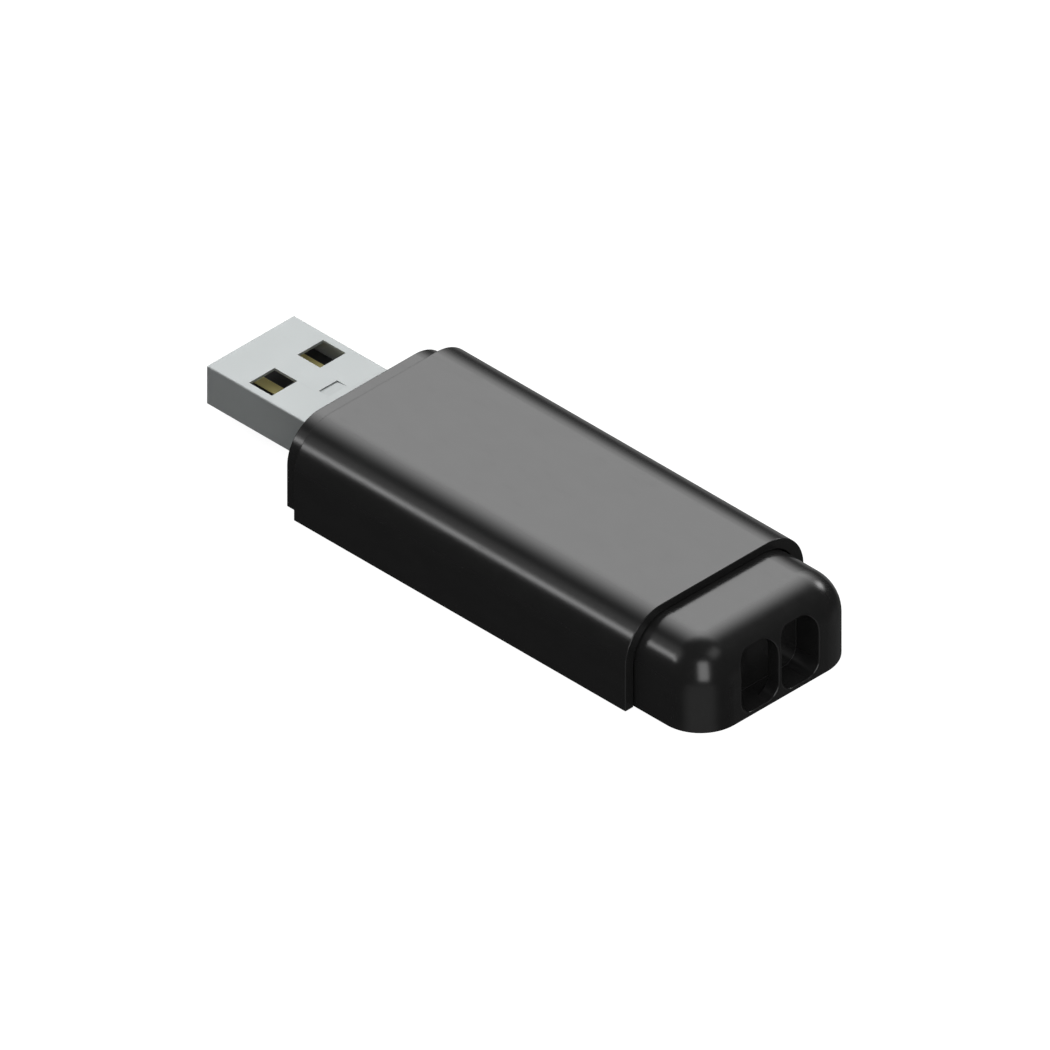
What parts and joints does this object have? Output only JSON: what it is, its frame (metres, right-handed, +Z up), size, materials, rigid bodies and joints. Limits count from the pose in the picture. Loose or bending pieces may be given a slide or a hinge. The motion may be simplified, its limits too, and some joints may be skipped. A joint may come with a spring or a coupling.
{
  "type": "usb microcontroller programmer",
  "caption": "USB stick that programs microcontrollers, with a USB type A plug, a cover sleeve that slides forward over the plug, and a lanyard eye.",
  "frame": {"origin": "on the underside, below the middle of the whole stick", "axes": "+X towards the lanyard end, so the plug points to -X; +Y across the stick; +Z up, away from the flat underside"},
  "size_m": [0.0728, 0.0244, 0.0103],
  "materials": {
    "black_housing": "black, semi-gloss",
    "black_sleeve": "black, semi-gloss",
    "plug_steel": "satin nickel plate",
    "insulator_black": "black, moulded",
    "contact_gold": "gold plated",
    "board_green": "green solder mask",
    "chip_black": "moulded epoxy",
    "lead_tin": "matt tin",
    "can_steel": "drawn can",
    "capacitor_tan": "sintered",
    "resistor_black": "glazed",
    "fuse_green": "moulded",
    "ferrite_grey": "sintered"
  },
  "bodies": {
    "stick": {"base_cover": "black_housing", "ceramic_capacitors": "capacitor_tan", "chip_resistors": "resistor_black", "chip_terminals": "lead_tin", "circuit_board": "board_green", "crystal_base": "insulator_black", "crystal_can": "can_steel", "esd_protector_leads": "lead_tin", "esd_protector_package": "chip_black", "ferrite_bead": "ferrite_grey", "housing_shell": "black_housing", "level_shifter_leads": "lead_tin", "level_shifter_package": "chip_black", "microcontroller_leads": "lead_tin", "microcontroller_package": "chip_black", "regulator_leads": "lead_tin", "regulator_package": "chip_black", "resettable_fuse": "fuse_green", "target_header_body": "insulator_black", "target_header_pins": "contact_gold", "usb_contact_data_minus": "contact_gold", "usb_contact_data_plus": "contact_gold", "usb_contact_ground": "contact_gold", "usb_contact_vbus": "contact_gold", "usb_insulator": "insulator_black", "usb_shell": "plug_steel"},
    "sleeve": {"slide_sleeve": "black_sleeve"}
  },
  "joints": [
    {"name": "sleeve_slide", "type": "slide", "parent": "stick", "child": "sleeve", "axis": [-1, 0, 0], "range_m": [0, 0.018]}
  ]
}
